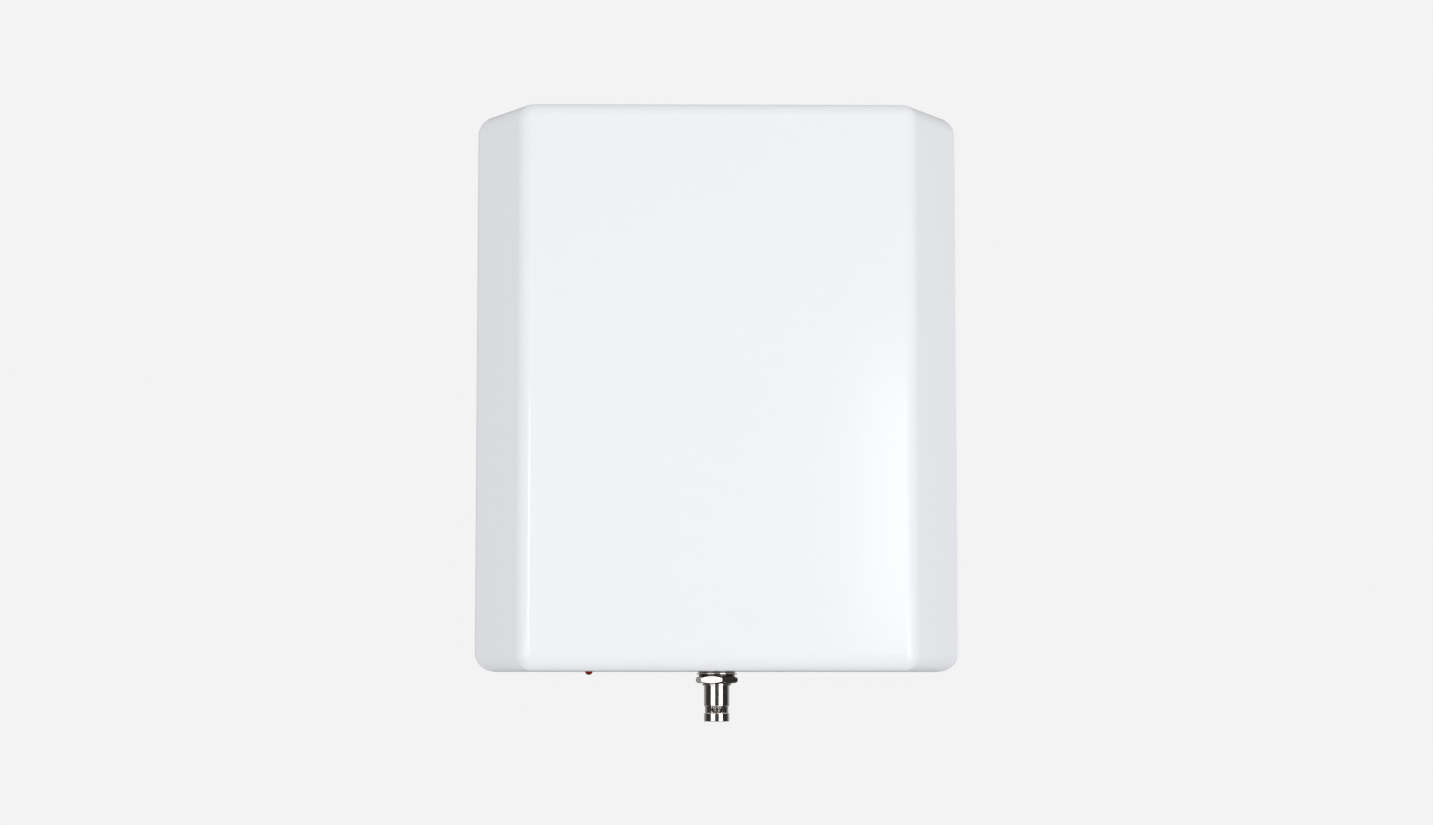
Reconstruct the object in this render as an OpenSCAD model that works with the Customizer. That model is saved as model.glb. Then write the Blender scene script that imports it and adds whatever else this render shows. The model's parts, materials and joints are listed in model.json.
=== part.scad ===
// Active flat-panel directional antenna on a tilting wall bracket.
//
// Row frame: X is to the right seen from the front, the front of the antenna faces -Y, Z is up.
// The origin is the centre of the wall bracket's back face, so the wall is the plane Y = 0.
// The tilt axis runs along X at the height of the origin.
//
// Parts of the antenna are written in the panel's own frame, which on_panel() places:
// x to the right, y up from the panel's middle, z from the housing's rear face to the front.
// Parts of the coaxial jack are written in the jack's frame, which on_jack() places inside it:
// z is the distance out of the housing's bottom face, y points to the front of the panel.

/* [Housing] */
// Width of the housing
housing_w = 184; // [180:1:190]
// Height of the housing
housing_h = 213.5; // [210:0.5:218]
// Depth of the housing from its rear face to its front face
housing_d = 46; // [43:0.5:48]
// Wall thickness of the radome
wall_t = 2.5; // [2:0.1:2.8]
// Thickness of the rear cover
cover_t = 3; // [2.8:0.1:3.2]
// Depth at which the upright sides turn into the sloping ones
shoulder_d = 13; // [13:0.5:16]
// Radius of the corners seen from the front
corner_r = 7.4; // [6:0.1:8]
// Radius of the rounding round the front face
front_r = 6.5; // [6.2:0.1:8]
// Width of the flat part of the front face
front_flat_w = 139; // [136:1:144]

/* [Aerial stack] */
// Width of the reflector sheet
reflector_w = 150; // [140:1:156]
// Height of the reflector sheet
reflector_h = 178; // [176:1:180]
// Thickness of the reflector sheet
reflector_t = 1; // [0.8:0.1:1.2]
// Width and height of the driven patch
driven_w = 136; // [130:1:138]
// Width and height of the director patch
director_w = 116; // [108:1:120]
// Gap from the reflector to the driven patch
driven_gap = 8; // [7:0.5:8.5]
// Gap from the driven patch to the director patch
director_gap = 8; // [7:0.5:8.5]

/* [Amplifier board] */
// Width of the circuit board
board_w = 110; // [108:1:114]
// Height of the circuit board
board_h = 56; // [54:1:57]
// Thickness of the circuit board
board_t = 1.6; // [1.2:0.1:1.8]

/* [Coaxial jack] */
// Depth of the jack's axis in front of the housing's rear face
jack_depth = 15; // [14.5:0.5:15.5]
// Diameter of the bayonet barrel
barrel_d = 9.65; // [9.6:0.01:9.7]
// Distance that the jack stands out of the housing's bottom face
jack_reach = 18.9; // [18.5:0.1:19.5]
// Width across the flats of the fixing nut
jack_nut_af = 14.3; // [14:0.1:15]
// Angle that the fixing nut was left at
jack_nut_turn = 16.6; // [0:0.1:59]

/* [Indicator] */
// Diameter of the indicator lamp
led_d = 3; // [2.8:0.1:3.2]
// Distance of the lamp from the jack's axis
led_offset = 48.6; // [46:0.1:49]
// Distance that the lamp's dome stands out
led_reach = 1.3; // [1:0.1:1.6]

/* [Wall bracket] */
// Distance of the tilt axis from the wall
pivot_reach = 24; // [23:0.5:28]
// Distance of the tilt axis from the housing's rear face
panel_reach = 22; // [21:0.5:24]
// Thickness of the bracket sheet
sheet_t = 2; // [1.8:0.1:2.1]
// Height of the wall plate
wall_plate_h = 90; // [86:1:100]
// Width of the wall bracket over its ears
wall_bracket_w = 58; // [58:0.5:60]
// Width of the panel bracket over its ears
panel_bracket_w = 52; // [51:0.5:52]
// Distance across between the wall screw holes
wall_hole_dx = 36; // [34:1:38]
// Distance up between the wall screw holes
wall_hole_dz = 70; // [66:1:72]
// Diameter of the wall screw holes
wall_hole_d = 5.2; // [4.8:0.1:5.6]
// Diameter of the pivot studs
stud_d = 6; // [5.8:0.1:6]
// Diameter of the clamp knobs over their lobes
knob_d = 30; // [28:1:32]
// Length of the clamp knobs
knob_l = 13; // [12:0.5:15]

/* [Hidden] */

$fn = 64;
fine_fn = 96;
hull_fn = 32;
hex_fn = 6;

// Small play between fixed parts, and radial play of a running fit
play = 0.05;
assembly_gap = 0.3;

// Housing
half_w = housing_w / 2;
half_h = housing_h / 2;
inner_corner_r = corner_r - wall_t;
cover_w = housing_w - 2 * (wall_t + assembly_gap);
cover_h = housing_h - 2 * (wall_t + assembly_gap);
cover_corner_r = inner_corner_r - assembly_gap;
ledge_w = 5;
ledge_t = 3;

// Groove in the rear cover's inner face, and the cord that lies in it
groove_inset = 1.6;
groove_w = 2;
groove_depth = 1.5;
cord_inset = groove_inset + play;
cord_w = groove_w - 2 * play;
cord_t = groove_depth - play;

// Rear cover screws: one by each corner, one half way up each side, two along the top and the bottom
cover_screw_inset = 6.5;
cover_screw_x = half_w - wall_t - cover_screw_inset;
cover_screw_y = half_h - wall_t - cover_screw_inset;
cover_mid_x = 30;
cover_screw_d = 3;
cover_screw_l = 10;
cover_head_d = 5.6;
cover_head_t = 2;
boss_d = 8;
boss_top = 15;
web_t = 3;
web_l = 8;
cover_screw_at = [
    for (sx = [-1, 1], sy = [-1, 0, 1]) [sx * cover_screw_x, sy * cover_screw_y],
    for (sx = [-1, 1], sy = [-1, 1]) [sx * cover_mid_x, sy * cover_screw_y],
];

// Aerial stack, measured from the housing's rear face
reflector_z = 17;
reflector_y = 5;
driven_z = reflector_z + reflector_t + driven_gap;
driven_t = 1;
director_z = driven_z + driven_t + director_gap;
director_t = 0.8;
patch_corner_r = 6;
slot_w = 4;
slot_l = 52;
slot_dx = 36;
spacer_d = 8;
spacer_x = 45;
spacer_at = [for (sx = [-1, 1], sy = [-1, 1]) [sx * spacer_x, reflector_y + sy * spacer_x]];
small_screw_d = 3;
small_screw_l = 6;
small_head_d = 5.6;
small_head_t = 2;
small_nut_af = 5.5;
small_nut_t = 2.4;
post_d = 7;
post_x = 68;
post_pitch = 80;
post_at = [for (sx = [-1, 1], sy = [-1, 0, 1]) [sx * post_x, reflector_y + sy * post_pitch]];
ground_post_r = 4;
ground_neck_r = 2.5;
ground_flange_t = 0.8;

// Amplifier board
board_y = -58;
board_gap = 4;
board_z = cover_t + board_gap;
board_top = board_z + board_t;
standoff_af = 5;
board_screw_at = [[-50, -35], [50, -35], [-36, -81], [36, -81]];
shield_w = 52;
shield_h = 30;
shield_y = -59;
shield_wall = 0.5;
shield_frame_t = 4.2;
shield_lid_t = 0.4;
shield_lid_drop = 3;
shield_lip = 2;
feed_y = -38;
feed_d = 1.4;
feed_bush_d = 7;
coax_y = -79;
coax_d = 2.2;
coax_bend_r = 3;

// Places on the board of its components, their widths, heights and thicknesses
chip_at = [-10, shield_y];
chip_size = [4.9, 3.9, 1.6];
chip_pitch = 1.27;
filter_at = [8, shield_y];
filter_size = [9, 7, 2.2];
choke_at = [38, -50];
choke_d = 7.6;
choke_core_d = 5.6;
choke_h = 4.4;
choke_flange_t = 1;
regulator_at = [38, -66];
regulator_size = [6.5, 3.5, 1.7];
regulator_pitch = 2.3;
can_at = [-38, -62];
can_base_w = 6.6;
can_r = 3.15;
can_h = 5.4;
capacitor_size = [2, 1.25, 0.9];
capacitor_pitch = 10;
capacitor_row_dy = 10;

// Length of the lamp's flange behind the wall
led_flange_l = 1.5;

// Coaxial jack, measured out of the housing's bottom face
thread_d = 11.1;
jack_hole_d = 11.4;
flat_washer_d = 15.4;
flat_washer_t = 0.5;
outer_seal_d = 14.1;
outer_seal_t = 0.6;
lock_washer_d = 13.7;
lock_washer_t = 0.8;
jack_nut_t = 2.5;
thread_end = 5.3;
barrel_r = barrel_d / 2;
waist_r = barrel_r - 0.35;
waist_low = jack_reach - 6;
waist_high = jack_reach - 3;
mouth_chamfer = 0.3;
bore_r = 4.05;
bore_floor = 7;
core_r = 3.2;
rear_barrel_r = 4.75;
seal_t = 1;
tag_t = 0.5;
flange_face = -wall_t - seal_t - tag_t;
flange_t = 3;
flange_af = 15;
rear_end = -15;
lug_r = 1;
lug_tip_r = 5.5;
lug_at = jack_reach - 4.5;
lug_foot_r = 2;
lug_foot_l = 1;
lug_foot_from = waist_r - 0.4;
nose_r = 3.25;
nose_end = jack_reach - 3.6;
contact_r = 1.05;
contact_bore_r = 0.7;
contact_bore_l = 5;
contact_end = nose_end - 0.4;

// Bracket
bend_r = 4;
ear_r = 10;
pivot_y = -pivot_reach;
panel_rear_y = pivot_y - panel_reach;
panel_plate_h = 60;
wall_root_h = 50;
panel_root_h = 44;
panel_screw_x = 14;
panel_screw_y = 20;
panel_screw_at = [for (sx = [-1, 1], sy = [-1, 1]) [sx * panel_screw_x, sy * panel_screw_y]];
panel_screw_d = 4;
panel_screw_l = 8;
panel_head_d = 7.6;
panel_head_t = 2.5;
insert_d = 6;
insert_l = 7;
insert_boss_d = 10;
insert_boss_top = 11;
stud_head_d = 10;
stud_head_t = 3;
washer_gap = (wall_bracket_w - panel_bracket_w) / 2 - sheet_t;
friction_washer_d = 18;
plain_washer_d = 14;
plain_washer_t = 1.2;
washer_x = wall_bracket_w / 2;
knob_x = washer_x + plain_washer_t + play;
knob_lobes = 6;
knob_lobe_r = 4.5;
knob_core_r = 12;
knob_hub_r = 8;
knob_hub_t = 3;
knob_insert_af = 10;
knob_insert_t = 5;
stud_engaged = 9;

// ---------------------------------------------------------------- shared shapes

// Places a part from the panel's frame into the row frame
module on_panel() {
    translate([0, panel_rear_y, 0]) rotate([90, 0, 0]) children();
}

// Places a part from the jack's frame into the row frame
module on_jack() {
    on_panel() translate([0, -half_h, jack_depth]) rotate([90, 0, 0]) children();
}

// Outline with round corners, centred on the origin
module round_rect(w, h, r) {
    square([w - 2 * r, h], center = true);
    square([w, h - 2 * r], center = true);
    for (sx = [-1, 1], sy = [-1, 1])
        translate([sx * (w / 2 - r), sy * (h / 2 - r)]) circle(r = r);
}

// Plate with round corners, from z = 0 up
module round_plate(w, h, r, t) {
    linear_extrude(t) round_rect(w, h, r);
}

// Drilled plug that clears a hole through a plate of thickness t
module drill(d, t) {
    translate([0, 0, -1]) cylinder(d = d, h = t + 2);
}

// Ring from z = 0 up
module ring(outer_d, inner_d, t) {
    difference() {
        cylinder(d = outer_d, h = t);
        drill(inner_d, t);
    }
}

// Ring whose outer edges are broken by a small chamfer
module eased_ring(outer_d, inner_d, t, ease) {
    rotate_extrude($fn = fine_fn) polygon([
        [inner_d / 2, 0],
        [outer_d / 2 - ease, 0],
        [outer_d / 2, ease],
        [outer_d / 2, t - ease],
        [outer_d / 2 - ease, t],
        [inner_d / 2, t],
    ]);
}

// Pan-head screw with a cross recess: the head is above z = 0, the shank runs down
module pan_screw(shank_d, length, head_d, head_t) {
    recess_w = head_d * 0.16;
    recess_l = head_d * 0.56;
    edge = head_t * 0.45;
    difference() {
        rotate_extrude() polygon([
            [0, -length],
            [shank_d / 2 - 0.4, -length],
            [shank_d / 2, -length + 0.6],
            [shank_d / 2, 0],
            [head_d / 2, 0],
            [head_d / 2, head_t - edge],
            [head_d / 2 - edge * 0.35, head_t - edge * 0.4],
            [head_d / 2 - edge, head_t],
            [0, head_t],
        ]);
        for (turn = [0, 90])
            rotate(turn) translate([-recess_l / 2, -recess_w / 2, head_t * 0.45])
                cube([recess_l, recess_w, head_t]);
    }
}

// Hexagonal block whose corners are turned to a cone on the faces named
module hex_block(af, t, chamfer_low, chamfer_high) {
    corner_d = af / cos(30);
    cut = (corner_d - af) / 2;
    drop = cut * tan(30);
    low = chamfer_low ? drop : 0;
    high = chamfer_high ? drop : 0;
    intersection() {
        cylinder(d = corner_d, h = t, $fn = hex_fn);
        rotate_extrude($fn = fine_fn) polygon([
            [0, 0],
            [low > 0 ? af / 2 : corner_d / 2 + 1, 0],
            [corner_d / 2 + (low > 0 ? 0 : 1), low],
            [corner_d / 2 + (high > 0 ? 0 : 1), t - high],
            [high > 0 ? af / 2 : corner_d / 2 + 1, t],
            [0, t],
        ]);
    }
}

// Nut with both faces chamfered, from z = 0 up
module hex_nut(af, bore_d, t) {
    difference() {
        hex_block(af, t, true, true);
        drill(bore_d, t);
    }
}

// Channel section bent from sheet: floor on y = 0, ears towards +y
module channel_outline(w, depth, r) {
    translate([-w / 2 + r, 0]) square([w - 2 * r, depth]);
    translate([-w / 2, r]) square([w, depth - r]);
    for (side = [-1, 1])
        translate([side * (w / 2 - r), r]) circle(r = r);
}

// Side view of a bracket's ears: a tapered root that ends in a round eye, seen along x
module ear_outline(root_h, reach) {
    translate([reach, 0]) circle(r = ear_r);
    polygon([[0, -root_h / 2], [0, root_h / 2], [reach, ear_r], [reach, -ear_r]]);
}

// Bent bracket: plate on the plane y = 0, ears towards +y, pivot eyes at y = reach
module bent_bracket(w, plate_h, root_h, reach, eye_d) {
    depth = reach + ear_r;
    difference() {
        union() {
            rotate([90, 0, 0]) translate([0, 0, -sheet_t])
                round_plate(w - 2 * bend_r, plate_h, corner_r, sheet_t);
            intersection() {
                translate([0, 0, -root_h / 2]) linear_extrude(root_h) difference() {
                    channel_outline(w, depth + 1, bend_r);
                    translate([0, sheet_t])
                        channel_outline(w - 2 * sheet_t, depth + 1, bend_r - sheet_t);
                }
                translate([-w / 2 - 1, 0, 0]) rotate([90, 0, 90])
                    linear_extrude(w + 2) ear_outline(root_h, reach);
            }
        }
        translate([-w / 2 - 1, reach, 0]) rotate([0, 90, 0]) cylinder(d = eye_d, h = w + 2);
    }
}

// ---------------------------------------------------------------- housing

// Solid of the housing, inset from its outer surface on every side but the open rear
module housing_solid(inset, rear_z) {
    upright_r = corner_r - inset;
    nose_round_r = front_r - inset;
    hull() {
        for (sx = [-1, 1], sy = [-1, 1]) {
            translate([sx * (half_w - corner_r), sy * (half_h - corner_r), rear_z])
                cylinder(r = upright_r, h = shoulder_d - rear_z, $fn = hull_fn);
            translate([sx * (half_w - corner_r), sy * (half_h - corner_r), shoulder_d])
                sphere(r = upright_r, $fn = hull_fn);
            translate([sx * front_flat_w / 2, sy * (half_h - front_r), housing_d - front_r])
                sphere(r = nose_round_r, $fn = hull_fn);
        }
    }
}

// Boss for a rear cover screw, with a web that ties it to the nearest wall
module cover_boss(at) {
    along_x = abs(at[0]) > cover_mid_x;
    translate([at[0], at[1], cover_t]) {
        cylinder(d = boss_d, h = boss_top - cover_t);
        if (along_x)
            translate([at[0] > 0 ? 0 : -web_l, -web_t / 2, 0])
                cube([web_l, web_t, boss_top - cover_t]);
        else
            translate([-web_t / 2, at[1] > 0 ? 0 : -web_l, 0])
                cube([web_t, web_l, boss_top - cover_t]);
    }
}

module radome() {
    color("whitesmoke") on_panel() difference() {
        union() {
            difference() {
                housing_solid(0, 0);
                housing_solid(wall_t, -1);
            }
            translate([0, 0, cover_t]) linear_extrude(ledge_t) difference() {
                round_rect(housing_w - 2 * wall_t + 1, housing_h - 2 * wall_t + 1, inner_corner_r);
                round_rect(housing_w - 2 * (wall_t + ledge_w), housing_h - 2 * (wall_t + ledge_w),
                    inner_corner_r);
            }
            for (at = cover_screw_at)
                cover_boss(at);
        }
        for (at = cover_screw_at)
            translate([at[0], at[1], cover_t - 1])
                cylinder(d = cover_screw_d + 2 * play, h = cover_screw_l);
        translate([0, -half_h + wall_t + 1, jack_depth]) rotate([90, 0, 0])
            cylinder(d = jack_hole_d, h = wall_t + 2);
        translate([0, -half_h + wall_t + ledge_w + 1, jack_depth]) rotate([90, 0, 0])
            cylinder(d = flat_washer_d + 3, h = ledge_w + 1);
        translate([-led_offset, -half_h + wall_t + 1, jack_depth]) rotate([90, 0, 0])
            cylinder(d = led_d + 2 * play, h = wall_t + 2);
    }
}

module rear_cover() {
    color("gainsboro") on_panel() difference() {
        union() {
            round_plate(cover_w, cover_h, cover_corner_r, cover_t);
            for (at = post_at)
                translate(at) cylinder(d = post_d, h = reflector_z);
            for (at = panel_screw_at)
                translate(at) cylinder(d = insert_boss_d, h = insert_boss_top);
        }
        for (at = cover_screw_at)
            translate(at) drill(cover_screw_d + 6 * play, cover_t);
        for (at = post_at)
            translate([at[0], at[1], reflector_z - small_screw_l])
                cylinder(d = small_screw_d + 2 * play, h = small_screw_l + 1);
        for (at = panel_screw_at)
            translate([at[0], at[1], -1]) cylinder(d = insert_d + 2 * play, h = insert_l + 3);
        translate([0, 0, cover_t - groove_depth]) linear_extrude(groove_depth + 1)
            perimeter_band(groove_inset, groove_w);
    }
}

// Band of width w that runs round the rear cover, inset from its edge
module perimeter_band(inset, w) {
    difference() {
        round_rect(cover_w - 2 * inset, cover_h - 2 * inset, cover_corner_r - inset);
        round_rect(cover_w - 2 * (inset + w), cover_h - 2 * (inset + w), cover_corner_r - inset - play);
    }
}

module seal_cord() {
    color("dimgray") on_panel() translate([0, 0, cover_t - groove_depth])
        linear_extrude(cord_t) perimeter_band(cord_inset, cord_w);
}

module cover_screws() {
    color("silver") on_panel()
        for (at = cover_screw_at)
            translate(at) rotate([180, 0, 0])
                pan_screw(cover_screw_d, cover_screw_l, cover_head_d, cover_head_t);
}

// ---------------------------------------------------------------- aerial stack

module reflector() {
    color("silver") on_panel() translate([0, reflector_y, reflector_z]) difference() {
        round_plate(reflector_w, reflector_h, patch_corner_r, reflector_t);
        for (at = post_at)
            translate([at[0], at[1] - reflector_y, 0]) drill(small_screw_d + 4 * play, reflector_t);
        for (at = spacer_at)
            translate([at[0], at[1] - reflector_y, 0]) drill(small_screw_d + 4 * play, reflector_t);
        translate([0, feed_y - reflector_y, 0]) drill(feed_bush_d + 2 * play, reflector_t);
    }
}

module reflector_screws() {
    color("silver") on_panel()
        for (at = post_at)
            translate([at[0], at[1], reflector_z + reflector_t])
                pan_screw(small_screw_d, small_screw_l, small_head_d, small_head_t);
}

// One square patch of the stack, drilled for its four screws
module patch(w, t) {
    difference() {
        round_plate(w, w, patch_corner_r, t);
        for (at = spacer_at)
            translate([at[0], at[1] - reflector_y, 0]) drill(small_screw_d + 4 * play, t);
    }
}

module driven_patch() {
    color("goldenrod") on_panel() translate([0, reflector_y, driven_z]) difference() {
        patch(driven_w, driven_t);
        for (side = [-1, 1])
            translate([side * slot_dx / 2 - slot_w / 2, -driven_w / 2 - 1, -1])
                cube([slot_w, slot_l + 1, driven_t + 2]);
        translate([0, feed_y - reflector_y, 0]) drill(feed_d + 2 * play, driven_t);
    }
}

module director_patch() {
    color("goldenrod") on_panel() translate([0, reflector_y, director_z]) patch(director_w, director_t);
}

// Four spacer tubes of length l standing on the height z
module spacer_set(z, l) {
    for (at = spacer_at)
        translate([at[0], at[1], z]) eased_ring(spacer_d, small_screw_d + 4 * play, l, 0.4);
}

module lower_spacers() {
    color("ivory") on_panel() spacer_set(reflector_z + reflector_t, driven_gap);
}

module upper_spacers() {
    color("ivory") on_panel() spacer_set(driven_z + driven_t, director_gap);
}

module patch_screws() {
    color("ivory") on_panel()
        for (at = spacer_at)
            translate([at[0], at[1], director_z + director_t])
                pan_screw(small_screw_d, director_z + director_t - reflector_z + small_nut_t,
                    small_head_d, small_head_t);
}

module patch_nuts() {
    color("ivory") on_panel()
        for (at = spacer_at)
            translate([at[0], at[1], reflector_z - small_nut_t])
                hex_nut(small_nut_af, small_screw_d + 2 * play, small_nut_t);
}

module ground_post() {
    color("gold") on_panel() translate([0, reflector_y, reflector_z + reflector_t])
        rotate_extrude() polygon([
            [0, 0],
            [ground_post_r, 0],
            [ground_post_r, ground_flange_t],
            [ground_neck_r, ground_flange_t],
            [ground_neck_r, driven_gap - ground_flange_t],
            [ground_post_r, driven_gap - ground_flange_t],
            [ground_post_r, driven_gap],
            [0, driven_gap],
        ]);
}

module feed_probe() {
    probe_end = driven_z + driven_t + 0.6;
    color("gold") on_panel() translate([0, feed_y, board_top]) {
        cylinder(d = feed_d, h = probe_end - board_top);
        cylinder(d = 3, h = 0.8);
    }
}

module feed_bush() {
    color("white") on_panel() translate([0, feed_y, reflector_z]) difference() {
        union() {
            cylinder(d = feed_bush_d, h = reflector_t);
            translate([0, 0, reflector_t]) cylinder(d = feed_bush_d + 2, h = 1);
        }
        drill(feed_d + 2 * play, reflector_t + 1);
    }
}

// ---------------------------------------------------------------- amplifier

module amplifier_board() {
    color("darkgreen") on_panel() difference() {
        translate([0, board_y, board_z]) round_plate(board_w, board_h, 2, board_t);
        for (at = board_screw_at)
            translate([at[0], at[1], board_z]) drill(small_screw_d + 4 * play, board_t);
    }
}

module board_standoffs() {
    color("gold") on_panel()
        for (at = board_screw_at)
            translate([at[0], at[1], cover_t]) difference() {
                cylinder(d = standoff_af / cos(30), h = board_z - cover_t, $fn = hex_fn);
                translate([0, 0, -1]) cylinder(d = small_screw_d + 2 * play, h = board_z - cover_t + 2);
            }
}

module board_screws() {
    color("silver") on_panel()
        for (at = board_screw_at)
            translate([at[0], at[1], board_top])
                pan_screw(small_screw_d, board_top - cover_t - 0.6, small_head_d, small_head_t);
}

module shield_frame() {
    color("silver") on_panel() translate([0, shield_y, board_top]) difference() {
        round_plate(shield_w, shield_h, 1, shield_frame_t);
        translate([0, 0, -1])
            round_plate(shield_w - 2 * shield_wall, shield_h - 2 * shield_wall, 0.5,
                shield_frame_t - shield_wall + 1);
        round_plate(shield_w - 2 * shield_lip, shield_h - 2 * shield_lip, 2, shield_frame_t + 1);
    }
}

module shield_lid() {
    lid_w = shield_w + 2 * (play + shield_lid_t);
    lid_h = shield_h + 2 * (play + shield_lid_t);
    color("lightgray") on_panel() translate([0, shield_y, board_top + shield_frame_t - shield_lid_drop])
        difference() {
            round_plate(lid_w, lid_h, 1.4, shield_lid_drop + shield_lid_t);
            translate([0, 0, -1])
                round_plate(shield_w + 2 * play, shield_h + 2 * play, 1, shield_lid_drop + 1);
        }
}

// Block of a component body on the board, size as width, height and thickness, drawn in at its foot
module chip_block(at, size) {
    foot = 0.2;
    foot_t = size[2] / 4;
    translate([at[0], at[1], board_top]) {
        translate([0, 0, foot_t]) round_plate(size[0], size[1], foot, size[2] - foot_t);
        round_plate(size[0] - 2 * foot, size[1] - 2 * foot, foot, foot_t + 0.1);
    }
}

// Flat lead of a component on the board, centred on a place
module chip_lead(at, w, l, t) {
    translate([at[0] - w / 2, at[1] - l / 2, board_top]) cube([w, l, t]);
}

module amplifier_chip() {
    color("dimgray") on_panel() {
        chip_block(chip_at, chip_size);
        for (step = [-1.5:1.5], side = [-1, 1])
            chip_lead(chip_at + [step * chip_pitch, side * 2.4], 0.4, 1.2, 0.5);
    }
}

module band_filter() {
    color("lightgray") on_panel() chip_block(filter_at, filter_size);
}

module bias_choke() {
    color("dimgray") on_panel() translate([choke_at[0], choke_at[1], board_top]) {
        cylinder(d = choke_d, h = choke_flange_t);
        cylinder(d = choke_core_d, h = choke_h);
        translate([0, 0, choke_h - choke_flange_t]) cylinder(d = choke_d, h = choke_flange_t);
    }
}

module voltage_regulator() {
    color("dimgray") on_panel() {
        chip_block(regulator_at, regulator_size);
        for (step = [-1:1])
            chip_lead(regulator_at + [step * regulator_pitch, -2.4], 0.7, 2, 0.4);
        chip_lead(regulator_at + [0, 2.4], 3, 2, 0.4);
    }
}

module reservoir_capacitor() {
    base_t = 0.8;
    crimp_z = 1.9;
    crimp = 0.3;
    color("silver") on_panel() translate([can_at[0], can_at[1], board_top]) {
        round_plate(can_base_w, can_base_w, base_t, base_t);
        rotate_extrude() polygon([
            [0, base_t / 2],
            [can_r, base_t / 2],
            [can_r, crimp_z - crimp],
            [can_r - crimp, crimp_z],
            [can_r, crimp_z + crimp],
            [can_r, can_h - crimp],
            [can_r - crimp, can_h],
            [0, can_h],
        ]);
    }
}

module chip_capacitors() {
    color("tan") on_panel() {
        for (step = [-2:2])
            chip_block([step * capacitor_pitch, shield_y + capacitor_row_dy], capacitor_size);
        for (step = [-1.5:1.5])
            chip_block([step * capacitor_pitch, shield_y - capacitor_row_dy], capacitor_size);
    }
}

// ---------------------------------------------------------------- indicator

// Places a part of the lamp: z runs out of the housing's bottom face, as in the jack's frame
module on_led() {
    on_panel() translate([-led_offset, -half_h, jack_depth]) rotate([90, 0, 0]) children();
}

module led() {
    dome_r = led_d / 2;
    dome_steps = 12;
    flange_z = -wall_t - play;
    color("darkred") on_led() rotate_extrude() polygon(concat(
        [
            [0, flange_z - led_flange_l],
            [dome_r + 0.4, flange_z - led_flange_l],
            [dome_r + 0.4, flange_z],
            [dome_r, flange_z],
        ],
        [for (i = [0:dome_steps]) [
            dome_r * cos(i * 90 / dome_steps),
            led_reach - dome_r + dome_r * sin(i * 90 / dome_steps),
        ]]
    ));
}

module led_leads() {
    lead_w = 0.5;
    lead_pitch = 2.54;
    start_y = -half_h + wall_t + led_flange_l + 2 * play;
    land_y = board_y - board_h / 2 + 3;
    color("silver") on_panel()
        for (side = [-1, 1])
            translate([-led_offset + side * lead_pitch / 2 - lead_w / 2, 0, 0]) {
                translate([0, start_y, jack_depth - lead_w / 2])
                    cube([lead_w, land_y - start_y, lead_w]);
                translate([0, land_y - lead_w, board_top])
                    cube([lead_w, lead_w, jack_depth - board_top]);
            }
}

module led_holder() {
    holder_d = 7;
    holder_l = 3.5;
    color("white") on_led() translate([0, 0, -wall_t - holder_l - play])
        ring(holder_d, led_d + 1, holder_l);
}

// ---------------------------------------------------------------- coaxial jack

module coax_jumper() {
    start_y = -half_h - rear_end;
    color("orange") on_panel() {
        translate([0, coax_y - coax_bend_r, jack_depth]) rotate([90, 0, 0])
            cylinder(d = coax_d, h = coax_y - coax_bend_r - start_y);
        translate([0, coax_y - coax_bend_r, jack_depth - coax_bend_r]) rotate([90, 0, 90])
            rotate_extrude(angle = 90) translate([coax_bend_r, 0]) circle(d = coax_d);
        translate([0, coax_y, board_top])
            cylinder(d = coax_d, h = jack_depth - coax_bend_r - board_top);
    }
}

module jack_body() {
    color("silver") on_jack() difference() {
        union() {
            rotate_extrude($fn = fine_fn) polygon([
                [0, rear_end],
                [rear_barrel_r - 0.4, rear_end],
                [rear_barrel_r, rear_end + 0.4],
                [rear_barrel_r, flange_face - flange_t],
                [thread_d / 2, flange_face - flange_t],
                [thread_d / 2, thread_end - 0.35],
                [thread_d / 2 - 0.35, thread_end],
                [barrel_r, thread_end],
                [barrel_r, waist_low],
                [waist_r, waist_low + 0.25],
                [waist_r, waist_high - 0.25],
                [barrel_r, waist_high],
                [barrel_r, jack_reach - mouth_chamfer],
                [barrel_r - mouth_chamfer, jack_reach],
                [0, jack_reach],
            ]);
            translate([0, 0, flange_face - flange_t]) hex_block(flange_af, flange_t, true, false);
            translate([0, 0, lug_at]) rotate([90, 0, 0])
                cylinder(r = lug_r, h = 2 * lug_tip_r, center = true, $fn = fine_fn);
            for (side = [0, 180])
                rotate(side) translate([0, -lug_foot_from, lug_at]) rotate([90, 0, 0])
                    cylinder(r1 = lug_foot_r, r2 = lug_r, h = lug_foot_l, $fn = fine_fn);
        }
        rotate_extrude($fn = fine_fn) polygon([
            [0, rear_end - 1],
            [core_r, rear_end - 1],
            [core_r, bore_floor],
            [bore_r, bore_floor],
            [bore_r, jack_reach - 0.2],
            [bore_r + 0.4, jack_reach + 0.2],
            [0, jack_reach + 0.2],
        ]);
    }
}

module jack_insulator() {
    body_r = core_r - play / 2;
    color("white") on_jack() rotate_extrude($fn = fine_fn) polygon([
        [contact_r + play / 2, rear_end],
        [body_r, rear_end],
        [body_r, bore_floor],
        [nose_r, bore_floor],
        [nose_r, nose_end - 0.3],
        [nose_r - 0.3, nose_end],
        [contact_r + play / 2, nose_end],
    ]);
}

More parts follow.
